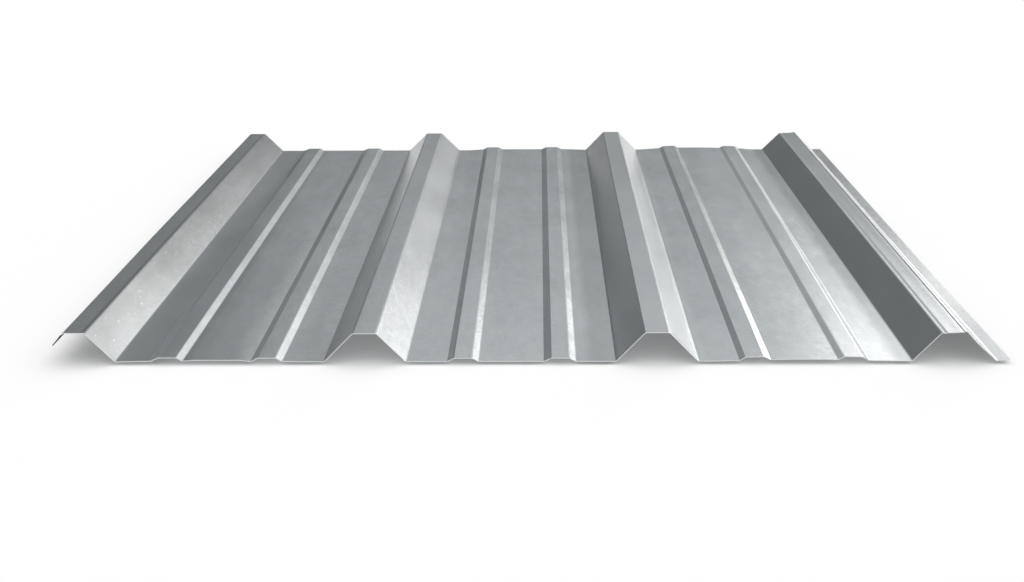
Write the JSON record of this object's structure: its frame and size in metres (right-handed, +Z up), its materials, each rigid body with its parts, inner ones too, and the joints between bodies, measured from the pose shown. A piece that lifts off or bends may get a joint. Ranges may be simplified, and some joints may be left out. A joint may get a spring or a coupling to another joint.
{
  "type": "trapezoidal corrugated metal sheet",
  "caption": "Flat-pan metal roofing sheet with high trapezoidal ribs, low stiffening ribs between them, a short lap leg on one long edge and a flat bearing leg on the other.",
  "frame": {"origin": "middle of the sheet's plan, on the plane that the pans rest on", "axes": "+Y along the ribs, +Z up out of the ribs' tops, +X from the lap leg to the bearing leg"},
  "size_m": [0.9946, 1.2192, 0.0318],
  "materials": {
    "coated_steel": "bare zinc-aluminium coating, satin, with a fine spangle and a plain sheared edge"
  },
  "bodies": {
    "root": {"ribbed_sheet": "coated_steel"}
  },
  "joints": []
}
